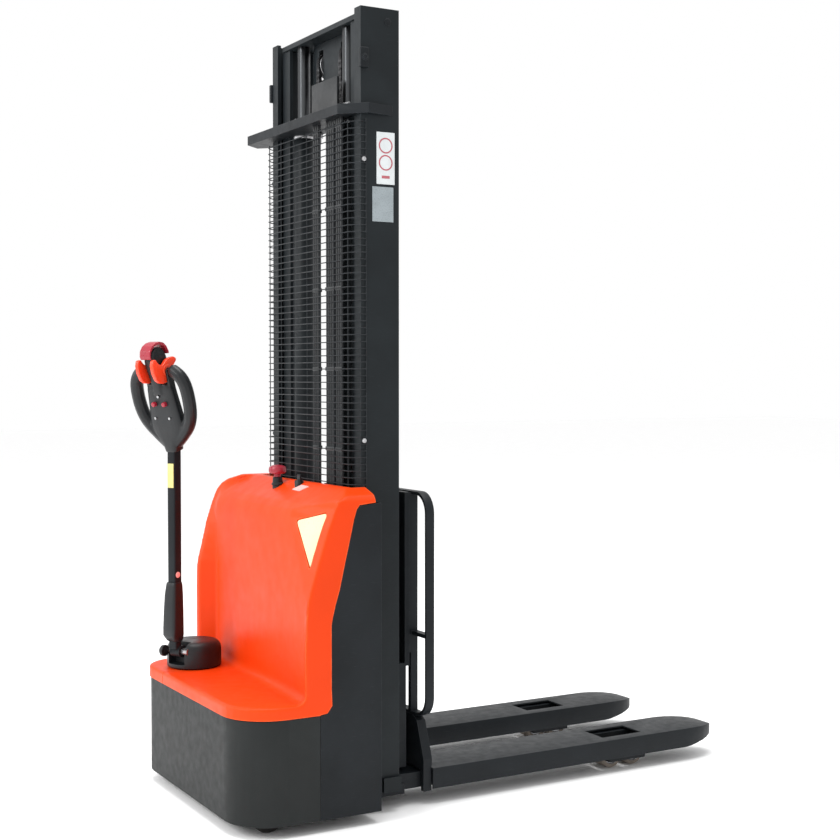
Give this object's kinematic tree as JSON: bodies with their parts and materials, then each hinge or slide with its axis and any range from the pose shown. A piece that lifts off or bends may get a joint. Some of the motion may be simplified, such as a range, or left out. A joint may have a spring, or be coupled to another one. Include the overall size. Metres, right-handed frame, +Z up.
{
  "type": "walkie stacker",
  "caption": "Pedestrian powered stacker: orange cover over a dark skirt, tiller at the left rear, twin-channel mast with wire guard, fork carriage with backrest.",
  "frame": {"origin": "on the floor, on the truck's centreline, under the front face of the fork crossplate", "axes": "+X along the forks towards their tips, +Y to the truck's left, +Z up"},
  "size_m": [1.8959, 0.847, 2.373],
  "materials": {
    "orange_cover": "smooth moulded plastic, semi-gloss",
    "mast_paint": "satin powder coat on rolled steel",
    "black_paint": "textured powder coat on folded steel",
    "dark_plastic": "fine-grained moulded plastic",
    "black_plastic": "moulded plastic",
    "red_plastic": "moulded plastic",
    "lever_plastic": "moulded plastic",
    "lens": "translucent diffuser",
    "bright_steel": "zinc-plated",
    "chrome": "hard chrome",
    "chain_steel": "oiled steel links",
    "polyurethane": "cast polyurethane tyre",
    "cast_metal": "machined and painted castings",
    "battery_case": "moulded case"
  },
  "bodies": {
    "chassis": {"chassis_frame": "black_paint", "rear_skirt": "dark_plastic", "side_panel_left": "black_paint", "side_panel_right": "black_paint", "main_cover": "orange_cover", "tiller_deck_cover": "orange_cover", "lamp_lens": "lens", "battery": "battery_case", "pump_motor": "cast_metal", "oil_tank": "black_plastic", "drive_controller": "cast_metal", "mast_channel_left": "mast_paint", "mast_channel_right": "mast_paint", "mast_lower_tie": "mast_paint", "upper_crossmember": "black_paint", "mesh_guard": "black_paint", "frame_fasteners": "bright_steel", "lift_cylinders": "mast_paint", "cylinder_glands": "bright_steel", "support_leg_left": "black_paint", "support_leg_right": "black_paint", "chain_anchors": "bright_steel", "rear_chain_falls": "chain_steel", "estop_base": "black_plastic"},
    "inner_mast": {"inner_channel_left": "mast_paint", "inner_channel_right": "mast_paint", "inner_top_tie": "mast_paint", "inner_lower_tie": "mast_paint", "sheave_carrier": "mast_paint", "lift_rods": "chrome", "front_chain_falls": "chain_steel"},
    "sheaves": {"chain_sheaves": "bright_steel"},
    "outer_rollers": {"outer_mast_rollers": "bright_steel"},
    "inner_rollers": {"inner_mast_rollers": "bright_steel"},
    "carriage": {"carriage_plates": "black_paint", "fork_crossplate": "black_paint", "fork_left": "black_paint", "fork_right": "black_paint", "load_backrest": "black_paint"},
    "carriage_rollers_low": {"carriage_rollers_lower": "bright_steel"},
    "carriage_rollers_high": {"carriage_rollers_upper": "bright_steel"},
    "drive_unit": {"drive_gearbox": "cast_metal", "drive_motor": "cast_metal", "tiller_base": "black_plastic"},
    "drive_wheel": {"drive_wheel": "polyurethane"},
    "caster": {"caster_fork": "bright_steel"},
    "caster_wheel": {"caster_wheel": "polyurethane"},
    "tiller": {"tiller_boot": "black_plastic", "tiller_tube": "black_paint", "tiller_head": "black_plastic"},
    "thumb_levers": {"thumb_levers": "lever_plastic"},
    "reverse_button": {"reverse_button": "red_plastic"},
    "horn_button": {"horn_button": "red_plastic"},
    "lift_button": {"lift_button": "red_plastic"},
    "estop_button": {"estop_button": "red_plastic"},
    "key_knob": {"key_knob": "black_plastic"},
    "load_wheel_left_back": {"load_wheel_left_back": "polyurethane"},
    "load_wheel_left_front": {"load_wheel_left_front": "polyurethane"},
    "load_wheel_right_back": {"load_wheel_right_back": "polyurethane"},
    "load_wheel_right_front": {"load_wheel_right_front": "polyurethane"}
  },
  "joints": [
    {"name": "inner_lift", "type": "slide", "parent": "chassis", "child": "inner_mast", "axis": [0, 0, 1], "range_m": [0, 1.75], "deforming": ["rear_chain_falls"]},
    {"name": "carriage_lift", "type": "slide", "parent": "inner_mast", "child": "carriage", "axis": [0, 0, 1], "range_m": [0, 1.75], "deforming": ["front_chain_falls"]},
    {"name": "sheave_spin", "type": "hinge", "parent": "inner_mast", "child": "sheaves", "pos_m": [-0.15, 0, 2.278], "axis": [0, -1, 0], "continuous": true},
    {"name": "outer_roller_spin", "type": "hinge", "parent": "chassis", "child": "outer_rollers", "pos_m": [-0.1815, 0, 2.3], "axis": [0, 1, 0], "continuous": true},
    {"name": "inner_roller_spin", "type": "hinge", "parent": "inner_mast", "child": "inner_rollers", "pos_m": [-0.1815, 0, 0.15], "axis": [0, 1, 0], "continuous": true},
    {"name": "carriage_roller_low_spin", "type": "hinge", "parent": "carriage", "child": "carriage_rollers_low", "pos_m": [-0.1815, 0, 0.16], "axis": [0, 1, 0], "continuous": true},
    {"name": "carriage_roller_high_spin", "type": "hinge", "parent": "carriage", "child": "carriage_rollers_high", "pos_m": [-0.1815, 0, 0.545], "axis": [0, 1, 0], "continuous": true},
    {"name": "steer", "type": "hinge", "parent": "chassis", "child": "drive_unit", "pos_m": [-0.535, 0.29, 0.216], "axis": [0, 0, 1], "range_deg": [-115, 65]},
    {"name": "drive_wheel_spin", "type": "hinge", "parent": "drive_unit", "child": "drive_wheel", "pos_m": [-0.535, 0.29, 0.095], "axis": [-0.4226, 0.9063, 0], "continuous": true},
    {"name": "caster_swivel", "type": "hinge", "parent": "chassis", "child": "caster", "pos_m": [-0.508, -0.3, 0.13], "axis": [0, 0, 1], "continuous": true},
    {"name": "caster_spin", "type": "hinge", "parent": "caster", "child": "caster_wheel", "pos_m": [-0.543, -0.3, 0.05], "axis": [0, 1, 0], "continuous": true},
    {"name": "tiller_tilt", "type": "hinge", "parent": "drive_unit", "child": "tiller", "pos_m": [-0.59935, 0.25999, 0.43], "axis": [0.4226, -0.9063, 0], "range_deg": [0, 80], "stiffness_Nm_per_rad": 22, "springref_deg": -40.11},
    {"name": "throttle_turn", "type": "hinge", "parent": "tiller", "child": "thumb_levers", "pos_m": [-0.67073, 0.22671, 1.31593], "axis": [-0.4226, 0.9063, 0], "range_deg": [-30, 30], "stiffness_Nm_per_rad": 0.8},
    {"name": "reverse_press", "type": "slide", "parent": "tiller", "child": "reverse_button", "axis": [0.2498, 0.1165, -0.9613], "range_m": [0, 0.006], "stiffness_N_per_m": 900, "springref_m": -0.004},
    {"name": "horn_press", "type": "slide", "parent": "tiller", "child": "horn_button", "axis": [0.8712, 0.4062, 0.2756], "range_m": [0, 0.004], "stiffness_N_per_m": 400, "springref_m": -0.003},
    {"name": "lift_press", "type": "slide", "parent": "tiller", "child": "lift_button", "axis": [0.8712, 0.4062, 0.2756], "range_m": [0, 0.004], "stiffness_N_per_m": 400, "springref_m": -0.003},
    {"name": "estop_press", "type": "slide", "parent": "chassis", "child": "estop_button", "axis": [0, 0, -1], "range_m": [0, 0.005]},
    {"name": "key_turn", "type": "hinge", "parent": "chassis", "child": "key_knob", "pos_m": [-0.315, -0.034, 0.97], "axis": [0, 0, -1], "range_deg": [0, 60]},
    {"name": "load_wheel_left_back_spin", "type": "hinge", "parent": "chassis", "child": "load_wheel_left_back", "pos_m": [0.718, 0.221, 0.04], "axis": [0, 1, 0], "continuous": true},
    {"name": "load_wheel_left_front_spin", "type": "hinge", "parent": "chassis", "child": "load_wheel_left_front", "pos_m": [0.806, 0.221, 0.04], "axis": [0, 1, 0], "continuous": true},
    {"name": "load_wheel_right_back_spin", "type": "hinge", "parent": "chassis", "child": "load_wheel_right_back", "pos_m": [0.718, -0.221, 0.04], "axis": [0, 1, 0], "continuous": true},
    {"name": "load_wheel_right_front_spin", "type": "hinge", "parent": "chassis", "child": "load_wheel_right_front", "pos_m": [0.806, -0.221, 0.04], "axis": [0, 1, 0], "continuous": true}
  ],
  "couplings": [
    {"joint": "carriage_lift", "follows": "inner_lift", "ratio": 1},
    {"joint": "sheave_spin", "follows": "inner_lift", "rad_per_m": 25},
    {"joint": "outer_roller_spin", "follows": "inner_lift", "rad_per_m": 28.011},
    {"joint": "inner_roller_spin", "follows": "inner_lift", "rad_per_m": 19.608},
    {"joint": "carriage_roller_low_spin", "follows": "inner_lift", "rad_per_m": 28.011},
    {"joint": "carriage_roller_high_spin", "follows": "inner_lift", "rad_per_m": 28.011}
  ]
}
